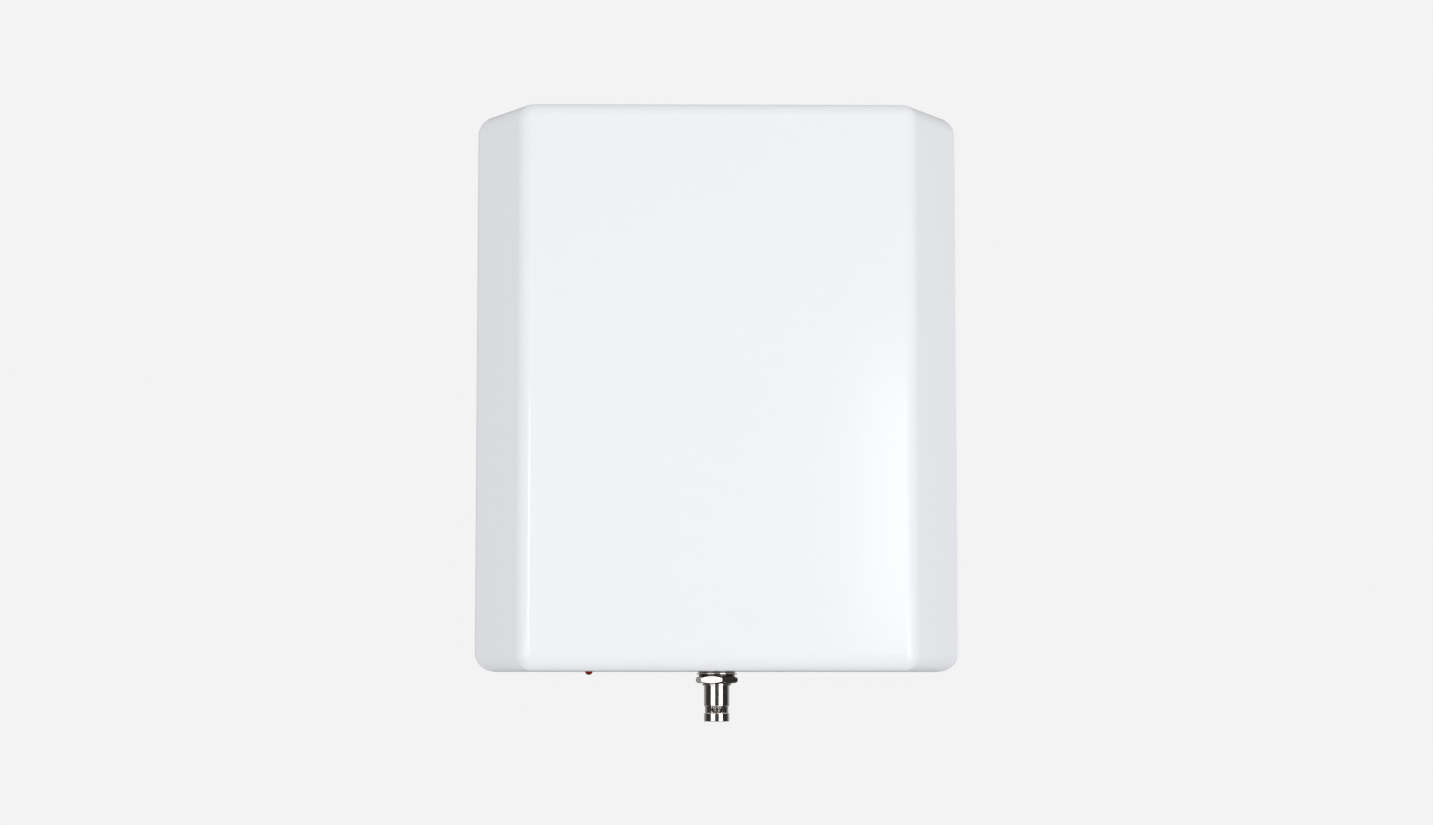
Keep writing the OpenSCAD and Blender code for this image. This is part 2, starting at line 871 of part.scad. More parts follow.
module jack_contact() {
    slit_w = 0.3;
    slit_l = 4;
    color("gold") on_jack() difference() {
        rotate_extrude() polygon([
            [0, rear_end],
            [contact_r, rear_end],
            [contact_r, contact_end - 0.15],
            [contact_r - 0.15, contact_end],
            [contact_bore_r, contact_end],
            [contact_bore_r, contact_end - contact_bore_l],
            [0, contact_end - contact_bore_l],
        ]);
        translate([-contact_r - 1, -slit_w / 2, contact_end - slit_l])
            cube([2 * contact_r + 2, slit_w, slit_l + 1]);
    }
}

module jack_seal() {
    color("dimgray") on_jack() translate([0, 0, -wall_t - seal_t])
        eased_ring(flat_washer_d, thread_d + 2 * play, seal_t, 0.2);
}

module jack_ground_tag() {
    tail_w = 3;
    tail_l = 14;
    color("silver") on_jack() translate([0, 0, flange_face]) difference() {
        union() {
            cylinder(d = flat_washer_d - 0.4, h = tag_t);
            translate([0, -tail_w / 2, 0]) cube([tail_l, tail_w, tag_t]);
        }
        drill(thread_d + 2 * play, tag_t);
        translate([tail_l - 2, 0, 0]) drill(1.4, tag_t);
    }
}

module jack_outer_seal() {
    color("dimgray") on_jack() eased_ring(outer_seal_d, thread_d + 2 * play, outer_seal_t, 0.15);
}

module jack_flat_washer() {
    color("silver") on_jack() translate([0, 0, outer_seal_t])
        eased_ring(flat_washer_d, thread_d + 4 * play, flat_washer_t, 0.1);
}

module jack_lock_washer() {
    gap_w = 0.9;
    color("dimgray") on_jack() translate([0, 0, outer_seal_t + flat_washer_t]) difference() {
        eased_ring(lock_washer_d, thread_d + 4 * play, lock_washer_t, 0.12);
        rotate(-70) translate([0, -gap_w / 2, -1]) cube([lock_washer_d, gap_w, lock_washer_t + 2]);
    }
}

module jack_nut() {
    color("silver") on_jack() translate([0, 0, outer_seal_t + flat_washer_t + lock_washer_t])
        rotate(jack_nut_turn) hex_nut(jack_nut_af, thread_d + 2 * play, jack_nut_t);
}

// ---------------------------------------------------------------- bracket

module bracket_inserts() {
    color("gold") on_panel()
        for (at = panel_screw_at)
            translate(at) difference() {
                rotate_extrude() polygon([
                    [0, 0],
                    [insert_d / 2, 0],
                    [insert_d / 2, 2.6],
                    [insert_d / 2 - 0.4, 2.8],
                    [insert_d / 2 - 0.4, 3.8],
                    [insert_d / 2, 4],
                    [insert_d / 2, insert_l],
                    [0, insert_l],
                ]);
                drill(panel_screw_d + 2 * play, insert_l);
            }
}

module panel_bracket() {
    color("gray") translate([0, panel_rear_y, 0]) difference() {
        bent_bracket(panel_bracket_w, panel_plate_h, panel_root_h, panel_reach, stud_d + 2 * play);
        for (at = panel_screw_at)
            translate([at[0], -1, at[1]]) rotate([-90, 0, 0])
                cylinder(d = panel_screw_d + 6 * play, h = sheet_t + 2);
    }
}

module panel_bracket_screws() {
    color("silver") on_panel()
        for (at = panel_screw_at)
            translate([at[0], at[1], -sheet_t]) rotate([180, 0, 0])
                pan_screw(panel_screw_d, panel_screw_l, panel_head_d, panel_head_t);
}

module pivot_studs() {
    inner_x = panel_bracket_w / 2 - sheet_t;
    stud_end = knob_x + stud_engaged;
    color("silver") translate([0, pivot_y, 0])
        for (side = [-1, 1])
            rotate([0, 90 * side, 0]) {
                translate([0, 0, inner_x - stud_head_t]) cylinder(d = stud_head_d, h = stud_head_t);
                translate([0, 0, inner_x - 1]) rotate_extrude() polygon([
                    [0, 0],
                    [stud_d / 2, 0],
                    [stud_d / 2, stud_end - inner_x + 0.2],
                    [stud_d / 2 - 0.8, stud_end - inner_x + 1],
                    [0, stud_end - inner_x + 1],
                ]);
            }
}

module wall_bracket() {
    color("gray") mirror([0, 1, 0]) difference() {
        bent_bracket(wall_bracket_w, wall_plate_h, wall_root_h, pivot_reach, stud_d + 2 * play);
        for (sx = [-1, 1], sz = [-1, 1])
            translate([sx * wall_hole_dx / 2, -1, sz * wall_hole_dz / 2]) rotate([-90, 0, 0])
                cylinder(d = wall_hole_d, h = sheet_t + 2);
    }
}

module friction_washers() {
    color("ivory") translate([0, pivot_y, 0])
        for (side = [-1, 1])
            rotate([0, 90 * side, 0]) translate([0, 0, panel_bracket_w / 2 + play])
                eased_ring(friction_washer_d, stud_d + 4 * play, washer_gap - play, 0.2);
}

module plain_washers() {
    color("silver") translate([0, pivot_y, 0])
        for (side = [-1, 1])
            rotate([0, 90 * side, 0]) translate([0, 0, washer_x])
                eased_ring(plain_washer_d, stud_d + 4 * play, plain_washer_t, 0.2);
}

// Places a part of a knob: z runs out along the pivot axis from the knob's inner face
module on_knob(side) {
    translate([0, pivot_y, 0]) rotate([0, 90 * side, 0]) translate([0, 0, knob_x]) children();
}

// Outline of the grip: a round core with evenly spaced lobes
module knob_outline() {
    circle(r = knob_core_r);
    for (i = [0:knob_lobes - 1])
        rotate(i * 360 / knob_lobes) translate([knob_d / 2 - knob_lobe_r, 0]) circle(r = knob_lobe_r);
}

// Lobed knob with a hub, a pocket for its hexagonal insert and a blind hole for the stud
module knob_body() {
    edge = 1.2;
    difference() {
        union() {
            cylinder(r = knob_hub_r, h = knob_hub_t + 1);
            intersection() {
                translate([0, 0, knob_hub_t]) linear_extrude(knob_l - knob_hub_t) knob_outline();
                rotate_extrude($fn = fine_fn) polygon([
                    [0, 0],
                    [knob_d / 2 - edge, knob_hub_t],
                    [knob_d / 2, knob_hub_t + edge],
                    [knob_d / 2, knob_l - edge],
                    [knob_d / 2 - edge, knob_l],
                    [0, knob_l],
                ]);
            }
        }
        translate([0, 0, -1])
            cylinder(d = (knob_insert_af + 2 * play) / cos(30), h = knob_insert_t + 1 + play, $fn = hex_fn);
        cylinder(d = stud_d + 2 * play, h = stud_engaged + 0.5);
    }
}

module knob_insert() {
    difference() {
        cylinder(d = knob_insert_af / cos(30), h = knob_insert_t, $fn = hex_fn);
        drill(stud_d + 2 * play, knob_insert_t);
    }
}

module left_knob() {
    color("dimgray") on_knob(-1) knob_body();
}

module left_knob_insert() {
    color("gold") on_knob(-1) knob_insert();
}

module right_knob() {
    color("dimgray") on_knob(1) knob_body();
}

module right_knob_insert() {
    color("gold") on_knob(1) knob_insert();
}

radome();
rear_cover();
seal_cord();
cover_screws();
reflector();
reflector_screws();
driven_patch();
director_patch();
lower_spacers();
upper_spacers();
patch_screws();
patch_nuts();
ground_post();
feed_probe();
feed_bush();
amplifier_board();
board_standoffs();
board_screws();
shield_frame();
shield_lid();
amplifier_chip();
band_filter();
bias_choke();
voltage_regulator();
reservoir_capacitor();
chip_capacitors();
led();
led_leads();
led_holder();
coax_jumper();
jack_body();
jack_insulator();
jack_contact();
jack_seal();
jack_ground_tag();
jack_outer_seal();
jack_flat_washer();
jack_lock_washer();
jack_nut();
bracket_inserts();
panel_bracket();
panel_bracket_screws();
pivot_studs();
wall_bracket();
friction_washers();
plain_washers();
left_knob();
left_knob_insert();
right_knob();
right_knob_insert();
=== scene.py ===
"""Looks of the flat panel antenna: shell, jack, lamp and bracket, their materials, and the studio."""
import json
import math

import bmesh
import bpy
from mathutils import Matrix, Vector
from mathutils.geometry import tessellate_polygon

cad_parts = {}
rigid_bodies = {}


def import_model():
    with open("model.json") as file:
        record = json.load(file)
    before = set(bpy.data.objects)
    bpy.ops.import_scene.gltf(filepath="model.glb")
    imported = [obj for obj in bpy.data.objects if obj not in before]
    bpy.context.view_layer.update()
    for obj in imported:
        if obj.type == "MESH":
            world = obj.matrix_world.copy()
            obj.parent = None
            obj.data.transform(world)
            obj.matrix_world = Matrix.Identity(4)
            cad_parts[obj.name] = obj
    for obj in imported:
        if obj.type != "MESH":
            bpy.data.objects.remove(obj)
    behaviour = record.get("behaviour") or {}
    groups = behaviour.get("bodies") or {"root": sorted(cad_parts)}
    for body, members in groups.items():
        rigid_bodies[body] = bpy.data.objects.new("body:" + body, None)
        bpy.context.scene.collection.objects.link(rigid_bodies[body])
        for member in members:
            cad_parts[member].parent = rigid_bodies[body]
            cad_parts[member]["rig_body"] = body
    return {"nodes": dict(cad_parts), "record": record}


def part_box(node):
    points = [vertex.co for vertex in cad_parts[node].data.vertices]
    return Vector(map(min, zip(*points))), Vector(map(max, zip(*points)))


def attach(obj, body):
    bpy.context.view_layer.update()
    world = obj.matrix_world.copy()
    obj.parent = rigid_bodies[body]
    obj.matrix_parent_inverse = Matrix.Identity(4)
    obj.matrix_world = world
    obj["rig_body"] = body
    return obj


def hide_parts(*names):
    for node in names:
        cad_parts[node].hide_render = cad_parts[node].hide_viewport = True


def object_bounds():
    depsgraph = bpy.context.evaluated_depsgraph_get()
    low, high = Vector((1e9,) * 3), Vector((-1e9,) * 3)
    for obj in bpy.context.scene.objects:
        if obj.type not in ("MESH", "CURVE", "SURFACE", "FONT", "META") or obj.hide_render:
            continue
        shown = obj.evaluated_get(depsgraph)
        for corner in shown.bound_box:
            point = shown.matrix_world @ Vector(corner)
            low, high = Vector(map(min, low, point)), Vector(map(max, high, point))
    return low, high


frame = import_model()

CAD_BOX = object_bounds()
MM = 0.001
NODES = frame["nodes"]
MATERIALS = {}

# Shape of the housing, as in the CAD model
CORNER_R = 7.4 * MM
FRONT_R = 6.5 * MM
SHOULDER_D = 13.0 * MM
FRONT_FLAT_W = 139.0 * MM
WALL_T = 2.5 * MM
RIM_EASE = 0.45 * MM
JACK_HOLE_R = 5.7 * MM
LAMP_HOLE_R = 1.55 * MM
# The front face falls away a little towards its upright edges, as a moulded face does
CROWN_W = 24.0 * MM
CROWN_TILT = math.radians(1.5)
CROWN_DROP = CROWN_W * math.tan(CROWN_TILT) / 2
# Steps that its roundings, faces and holes are made of
RIM_STEPS = 4
UPRIGHT_STEPS = 3
ARC_STEPS = 12
CROWN_STEPS = 8
CORNER_STEPS = 12
JACK_HOLE_STEPS = 64
LAMP_HOLE_STEPS = 32

# Shape of the coaxial jack: radii, and distances out of the housing's bottom face. It follows the CAD
# model, but for its rolled thread and the hollow flare of its lugs' feet
JACK_REAR = -15.0 * MM
JACK_CORE_R = 3.2 * MM
JACK_REAR_R = 4.75 * MM
FLANGE_LOW = -7.0 * MM
FLANGE_HIGH = -4.0 * MM
FLANGE_AF = 15.0 * MM
FLANGE_CHAMFER = 0.3 * MM
THREAD_R = 5.55 * MM
THREAD_START = 0.9 * MM
THREAD_END = 5.3 * MM
THREAD_PITCH = 0.907 * MM
THREAD_DEPTH = 0.42 * MM
THREAD_RUNOUT = 0.35 * MM
THREAD_RELIEF = 0.25 * MM
THREAD_STEPS = 64
BARREL_R = 4.825 * MM
WAIST_R = BARREL_R - 0.35 * MM
WAIST_LOW = 12.9 * MM
WAIST_HIGH = 15.9 * MM
WAIST_SLOPE = 0.25 * MM
JACK_REACH = 18.9 * MM
MOUTH_R = 4.05 * MM
BORE_FLOOR = 7.0 * MM
LUG_AT = 14.4 * MM
LUG_R = 1.0 * MM
LUG_TIP = 5.5 * MM
LUG_FOOT = 1.15 * MM
LUG_ROOT = 0.30 * MM
LUG_ROUND = 0.25 * MM
LUG_ARC_STEPS = 6
LUG_SIDES = 48
JACK_SIDES = 132

# Shape of the indicator lamp, as in the CAD model
LAMP_R = 1.5 * MM
LAMP_REACH = 1.3 * MM
LAMP_FLANGE = 0.4 * MM
LAMP_FLANGE_Z = -2.55 * MM
LAMP_BACK_Z = -4.05 * MM
LAMP_DOME_STEPS = 16
LAMP_SIDES = 48

# Corners of a face that are nearer to each other than this are one corner, in metres
SAME_POINT = 1e-7
# Steps of the rounding on each corner of a turned outline. A turn below STRAIGHT radians is no corner
EASE_STEPS = 4
STRAIGHT = 1e-4
# A groove cuts a turned surface where its normal points straight away from the axis, by this cosine.
# The groove's slope is measured over NUDGE, in millimetres along the axis and in radians round it
OUTWARD = 0.99
NUDGE = 1e-3

RADOME_LO, RADOME_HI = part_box("radome")
HALF_W = (RADOME_HI.x - RADOME_LO.x) / 2
HALF_H = (RADOME_HI.z - RADOME_LO.z) / 2
REAR_Y = RADOME_HI.y
FRONT_Y = RADOME_LO.y
DEPTH = REAR_Y - FRONT_Y


# ------------------------------------------------------------------ mesh helpers

def centre_of(node):
    """Middle of a CAD node's box."""
    lo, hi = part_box(node)
    return (lo + hi) / 2


def add_object(name, data):
    """Links a mesh, a light or a camera to the scene as an object."""
    made = bpy.data.objects.new(name, data)
    bpy.context.scene.collection.objects.link(made)
    return made


def panel_to_row(x, y, z):
    """From the panel's frame (y up, z towards the front) to the row frame."""
    return Vector((x, REAR_Y - z, y))


# ------------------------------------------------------------------ radome

def section_rows():
    """Half of the housing's cross-section, from the rear rim to the front face's edge.

    Each row is the centre (x, z) of the rounding at that place, the direction (x, z) to the surface,
    the rounding's nominal radius, how far the surface is eased inwards there, and the tilt of its
    normal towards the rear.
    """
    side_x = HALF_W - CORNER_R
    front_x = FRONT_FLAT_W / 2
    front_z = DEPTH - CROWN_DROP - FRONT_R * math.cos(CROWN_TILT)
    run_x, run_z = side_x - front_x, front_z - SHOULDER_D
    run = math.hypot(run_x, run_z)
    lean = math.asin((FRONT_R - CORNER_R) / run)
    slope = math.atan2(run_x, run_z) + lean
    rows = []
    for i in range(RIM_STEPS + 1):
        turn = math.pi / 2 * i / RIM_STEPS
        rows.append((side_x, RIM_EASE * (1 - math.cos(turn)), 1, 0, CORNER_R,
                     RIM_EASE * (1 - math.sin(turn)), math.pi / 2 - turn))
    for i in range(1, UPRIGHT_STEPS):
        rows.append((side_x, RIM_EASE + (SHOULDER_D - RIM_EASE) * i / UPRIGHT_STEPS,
                     1, 0, CORNER_R, 0, 0))
    for i in range(ARC_STEPS + 1):
        turn = slope * i / ARC_STEPS
        rows.append((side_x, SHOULDER_D, math.cos(turn), math.sin(turn), CORNER_R, 0, 0))
    for i in range(ARC_STEPS + 1):
        turn = slope + (math.pi / 2 - CROWN_TILT - slope) * i / ARC_STEPS
        rows.append((front_x, front_z, math.cos(turn), math.sin(turn), FRONT_R, 0, 0))
    crown_x = front_x + FRONT_R * math.sin(CROWN_TILT)
    for i in range(1, CROWN_STEPS + 1):
        share = 1 - i / CROWN_STEPS
        tilt = math.atan(share * math.tan(CROWN_TILT))
        x, z = crown_x - CROWN_W * (1 - share), DEPTH - CROWN_DROP * share ** 2
        rows.append((x - FRONT_R * math.sin(tilt), z - FRONT_R * math.cos(tilt),
                     math.sin(tilt), math.cos(tilt), FRONT_R, 0, 0))
    return rows


def shell_surface(inset, rows, columns):
    """Points and normals of the housing's surface, as rows round the section and columns up it."""
    points, normals = [], []
    mirrored = [(row, 1) for row in rows] + [(row, -1) for row in reversed(rows)]
    for (cx, cz, nx, nz, radius, ease, tilt), side in mirrored:
        reach = radius - ease - inset
        line, line_normals = [], []
        for end, turn in columns:
            out, up = math.cos(turn), math.sin(turn)
            line.append(panel_to_row(side * (cx + reach * nx * out),
                                     end * (HALF_H - radius + reach * up),
                                     cz + reach * nz * out))
            radial = panel_to_row(side * nx * out, end * up, nz * out) - panel_to_row(0, 0, 0)
            line_normals.append(radial * math.cos(tilt) + Vector((0, math.sin(tilt), 0)))
        points.append(line)
        normals.append(line_normals)
    return points, normals


class MeshBuilder:
    """Collects points, faces and normals, and makes one mesh from them."""

    def __init__(self):
        self.points, self.normals, self.faces = [], [], []

    def add(self, point, normal):
        """Adds a point. Returns its number."""
        self.points.append(point)
        self.normals.append(normal.normalized())
        return len(self.points) - 1

    def face(self, *corners):
        """Adds a face, turned to the side of its normals. Corners that fall on the one before go."""
        kept = [c for i, c in enumerate(corners)
                if (self.points[c] - self.points[corners[i - 1]]).length > SAME_POINT]
        if len(kept) < 3:
            return
        first = self.points[kept[0]]
        spin, wanted = Vector(), Vector()
        for low, high in zip(kept[1:], kept[2:]):
            spin += (self.points[low] - first).cross(self.points[high] - first)
        for corner in kept:
            wanted += self.normals[corner]
        self.faces.append(kept if spin.dot(wanted) > 0 else kept[::-1])

    def grid(self, points, normals, round_trip=False):
        """Adds rows of points and the quads between them. Returns the numbers of the points."""
        numbers = [[self.add(p, n) for p, n in zip(line, line_normals)]
                   for line, line_normals in zip(points, normals)]
        for low, high in zip(numbers, numbers[1:]):
            for i in range(0 if round_trip else 1, len(low)):
                self.face(low[i - 1], low[i], high[i], high[i - 1])
        return numbers

    def build(self, name, body, slot, *replaced):
        """Makes the object, with the normals given. It rides on a body and stands for CAD nodes."""
        mesh = bpy.data.meshes.new(name)
        mesh.from_pydata(self.points, [], self.faces)
        mesh.polygons.foreach_set("use_smooth", [True] * len(mesh.polygons))
        mesh.normals_split_custom_set([self.normals[loop.vertex_index] for loop in mesh.loops])
        enlist(add_object(name, mesh), body, slot, *replaced)


def enlist(piece, body, slot, *replaced):
    """Makes a new piece ride on a body, take its finish from a slot and stand for CAD nodes."""
    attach(piece, body)
    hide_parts(*replaced)
    piece.data.materials.append(MATERIALS[slot])


def circle(centre, radius, steps):
    """Points on a circle in the plane of the housing's bottom face."""
    return [centre + Vector((radius * math.cos(2 * math.pi * i / steps),
                             radius * math.sin(2 * math.pi * i / steps), 0)) for i in range(steps)]


def cap(builder, outline, holes, normal):
    """Fills a flat outline that has round holes in it."""
    loops = [outline] + holes
    numbers = [builder.add(p, normal) for loop in loops for p in loop]
    for triangle in tessellate_polygon(loops):
        builder.face(*(numbers[i] for i in triangle))


def make_radome():
    """The front housing: a closed shell with true roundings and the holes for the jack and the lamp."""
    rows = section_rows()
    columns = [(-1, math.pi / 2 * (1 - i / CORNER_STEPS)) for i in range(CORNER_STEPS + 1)]
    columns += [(1, math.pi / 2 * i / CORNER_STEPS) for i in range(CORNER_STEPS + 1)]
    hole_sizes = [(centre_of("jack_body"), JACK_HOLE_R, JACK_HOLE_STEPS),
                  (centre_of("led"), LAMP_HOLE_R, LAMP_HOLE_STEPS)]
    builder = MeshBuilder()
    edges = []
    for inset, facing in ((0, 1), (WALL_T, -1)):
        points, normals = shell_surface(inset, rows, columns)
        numbers = builder.grid(points, [[n * facing for n in line] for line in normals])
        edges.append(numbers)
        for column, end in ((0, -1), (-1, 1)):
            normal = Vector((0, 0, end * facing))
            ring = [Vector(line[column]) for line in points[RIM_STEPS:len(points) - RIM_STEPS]]
            holes = [circle(Vector((c.x, c.y, ring[0].z)), r, n) for c, r, n in hole_sizes if end < 0]
            cap(builder, ring, holes, normal)
            for i in range(RIM_STEPS):
                builder.face(numbers[i][column], numbers[i + 1][column],
                             numbers[-2 - i][column], numbers[-1 - i][column])
    for centre, radius, steps in hole_sizes:
        mouth = Vector((centre.x, centre.y, RADOME_LO.z))
        low = circle(mouth, radius, steps)
        inward = [mouth - p for p in low]
        high = [p + Vector((0, 0, WALL_T)) for p in low]
        builder.grid([low, high], [inward, inward], round_trip=True)
    rims = [[builder.points[n] for n in numbers[0] + numbers[-1][::-1]] for numbers in edges]
    builder.grid(rims, [[Vector((0, 1, 0))] * len(rim) for rim in rims], round_trip=True)
    builder.build("radome_shell", "antenna", "radome_plastic", "radome")


# ------------------------------------------------------------------ turned pieces

class Axis:
    """Frame of a turned piece: height runs out along its axis, angles start at its side direction."""

    def __init__(self, origin, out, side):
        self.origin, self.out, self.side = Vector(origin), Vector(out), Vector(side)
        self.third = self.out.cross(self.side)

    def turn(self, side, third, out):
        """Direction in the row frame."""
        return self.side * side + self.third * third + self.out * out

    def at(self, side, third, out):
        """Place in the row frame."""
        return self.origin + self.turn(side, third, out)


def eased_outline(corners):
    """Samples of a closed outline, from its corners as (radius, height, rounding).

    The corners run so that the outside is on the right. Each sample is a radius, a height and a normal.
    """
    samples = []
    for i, (radius, height, rounding) in enumerate(corners):
        here = Vector((radius, height))
        into = (here - Vector(corners[i - 1][:2])).normalized()
        away = (Vector(corners[(i + 1) % len(corners)][:2]) - here).normalized()
        normal_in, normal_out = Vector((into.y, -into.x)), Vector((away.y, -away.x))
        turn = math.atan2(into.x * away.y - into.y * away.x, into.dot(away))
        if rounding == 0 or abs(turn) < STRAIGHT:
            samples += [(here, normal_in), (here, normal_out)]
            continue
        bulge = rounding if turn > 0 else -rounding
        centre = here - into * rounding * math.tan(abs(turn) / 2) - normal_in * bulge
        for step in range(EASE_STEPS + 1):
            part = turn * step / EASE_STEPS
            normal = Vector((normal_in.x * math.cos(part) - normal_in.y * math.sin(part),
                             normal_in.x * math.sin(part) + normal_in.y * math.cos(part)))
            samples.append((centre + normal * bulge, normal))
    return samples


def turned(builder, axis, samples, steps, groove=None):
    """Adds a solid of revolution. groove(height, angle) is how deep its outside is cut in there."""
    rows, row_normals = [], []
    for place, normal in samples + samples[:1]:
        line, line_normals = [], []
        for i in range(steps):
            angle = 2 * math.pi * i / steps
            radius, along, across = place.x, normal.y, 0.0
            if groove and normal.x > OUTWARD:
                cut = groove(place.y, angle)
                along += (groove(place.y + NUDGE * MM, angle) - cut) / (NUDGE * MM)
                across = (groove(place.y, angle + NUDGE) - cut) / NUDGE / radius
                radius -= cut
            line.append(axis.at(radius * math.cos(angle), radius * math.sin(angle), place.y))
            line_normals.append(axis.turn(normal.x * math.cos(angle) - across * math.sin(angle),
                                          normal.x * math.sin(angle) + across * math.cos(angle), along))
        rows.append(line)
        row_normals.append(line_normals)
    builder.grid(rows, row_normals, round_trip=True)


def axis_below(x, y):
    """Axis that runs down from the housing's bottom face."""
    return Axis((x, y, RADOME_LO.z), (0, 0, -1), (1, 0, 0))


def jack_groove(height, angle):
    """How deep the jack's outside is cut in: a hexagonal flange, and a thread that runs out."""
    if FLANGE_LOW <= height <= FLANGE_HIGH:
        from_flat = (angle + math.pi / 6) % (math.pi / 3) - math.pi / 6
        return FLANGE_AF / 2 * (1 - 1 / math.cos(from_flat))
    fade_in = max(0, (height - THREAD_START) / THREAD_RUNOUT)
    fade_out = max(0, (THREAD_END - THREAD_RUNOUT - height) / THREAD_RUNOUT)
    wave = (1 - math.cos(2 * math.pi * height / THREAD_PITCH - angle)) / 2
    return THREAD_DEPTH * wave * min(1, fade_in, fade_out)


def lug_profile():
    """Rows of a bayonet lug, from its hidden root over its flare and tip to the middle of its end.

    Each row is its radius, its height, the radius of the cylinder that it bends round, how much of that
    bend it takes, and its normal (out, up).
    """
    root = WAIST_R - LUG_ROOT
    foot_r = LUG_R + LUG_FOOT
    end_r = LUG_R - LUG_ROUND
    turns = [math.pi / 2 * i / LUG_ARC_STEPS for i in range(LUG_ARC_STEPS + 1)]
    profile = [(0, root, WAIST_R, 1, 0, -1), (foot_r, root, WAIST_R, 1, 0, -1),
               (foot_r, root, WAIST_R, 1, 1, 0)]
    for turn in turns:
        radius = LUG_R + LUG_FOOT * (1 - math.sin(turn))
        height = WAIST_R + LUG_FOOT * (1 - math.cos(turn))
        if height <= LUG_TIP - LUG_ROUND:
            profile.append((radius, height, WAIST_R, math.cos(turn), math.sin(turn), math.cos(turn)))
    for turn in turns:
        radius = LUG_R - LUG_ROUND * (1 - math.cos(turn))
        height = LUG_TIP - LUG_ROUND * (1 - math.sin(turn))
        profile.append((radius, height, LUG_TIP, 1, math.cos(turn), math.sin(turn)))
    profile += [(end_r * share, LUG_TIP, LUG_TIP, 1, 0, 1) for share in (0.75, 0.5, 0.25, 0)]
    return profile


def add_lug(builder, axis, side):
    """Adds one bayonet lug: a pin with a hollow flare that meets the waist, and a curved end."""
    rows, row_normals = [], []
    for radius, height, bed, share, out, up in lug_profile():
        line, line_normals = [], []
        for i in range(LUG_SIDES):
            angle = 2 * math.pi * i / LUG_SIDES
            x, z = radius * math.cos(angle), radius * math.sin(angle)
            depth = math.sqrt(bed ** 2 - x ** 2)
            line.append(axis.at(x, side * (height - share * (bed - depth)), LUG_AT + z))
            line_normals.append(axis.turn(out * math.cos(angle) + up * share * x / depth,
                                          side * up, out * math.sin(angle)))
        rows.append(line)
        row_normals.append(line_normals)
    builder.grid(rows, row_normals, round_trip=True)


def make_jack_body():
    """The jack's nickelled body: flange, rolled thread, barrel with its waist, mouth and two lugs."""
    axis = axis_below(0, centre_of("jack_body").y)
    builder = MeshBuilder()
    thread_length = THREAD_END - THREAD_START - THREAD_RELIEF
    thread_rows = [(THREAD_R, THREAD_START + thread_length * i / THREAD_STEPS, 0)
                   for i in range(THREAD_STEPS + 1)]
    # Radius, height and rounding of each corner
    corners = [
        (JACK_CORE_R, JACK_REAR, 0.1 * MM),
        (JACK_REAR_R, JACK_REAR, 0.35 * MM),
        (JACK_REAR_R, FLANGE_LOW - FLANGE_CHAMFER, 0),
        (FLANGE_AF / 2, FLANGE_LOW, 0.2 * MM),
        (FLANGE_AF / 2, FLANGE_HIGH, 0.2 * MM),
        (THREAD_R, FLANGE_HIGH, 0.1 * MM),
        *thread_rows,
        (THREAD_R - 0.05 * MM, THREAD_END, 0.12 * MM),
        (BARREL_R, THREAD_END, 0.08 * MM),
        (BARREL_R, WAIST_LOW, 0.08 * MM),
        (WAIST_R, WAIST_LOW + WAIST_SLOPE, 0.12 * MM),
        (WAIST_R, WAIST_HIGH - WAIST_SLOPE, 0.12 * MM),
        (BARREL_R, WAIST_HIGH, 0.08 * MM),
        (BARREL_R, JACK_REACH, 0.28 * MM),
        (MOUTH_R, JACK_REACH, 0.22 * MM),
        (MOUTH_R, BORE_FLOOR, 0.1 * MM),
        (JACK_CORE_R, BORE_FLOOR, 0.1 * MM),
    ]
    turned(builder, axis, eased_outline(corners), JACK_SIDES, jack_groove)
    for side in (1, -1):
        add_lug(builder, axis, side)
    builder.build("jack_shell", "antenna", "nickel_plate", "jack_body")


def make_lamp():
    """The indicator lamp: a flanged body with a round dome of clear red epoxy."""
    lamp = centre_of("led")
    axis = axis_below(lamp.x, lamp.y)
    flange_r = LAMP_R + LAMP_FLANGE
    dome_start = LAMP_REACH - LAMP_R
    samples = eased_outline([
        (0, LAMP_BACK_Z, 0),
        (flange_r, LAMP_BACK_Z, 0.1 * MM),
        (flange_r, LAMP_FLANGE_Z, 0.1 * MM),
        (LAMP_R, LAMP_FLANGE_Z, 0.05 * MM),
        (LAMP_R, dome_start, 0),
    ])[:-1]
    for i in range(LAMP_DOME_STEPS + 1):
        turn = math.pi / 2 * i / LAMP_DOME_STEPS
        normal = Vector((math.cos(turn), math.sin(turn)))
        samples.append((Vector((0, dome_start)) + normal * LAMP_R, normal))
    builder = MeshBuilder()
    turned(builder, axis, samples, LAMP_SIDES)
    builder.build("lamp_lens", "antenna", "led_epoxy", "led")


# ------------------------------------------------------------------ eased copies

# Edges sharper than SHARP_ANGLE are rounded. Before that, points within MERGE_DISTANCE metres become
# one point, and faces that meet at less than FLAT_ANGLE become one face
SHARP_ANGLE = math.radians(28)
FLAT_ANGLE = math.radians(0.5)
MERGE_DISTANCE = 1e-6
ROUNDING_SEGMENTS = 2
# Say of the large faces in the shading: 50 is neutral and 100 is the most
LARGE_FACE_WEIGHT = 100


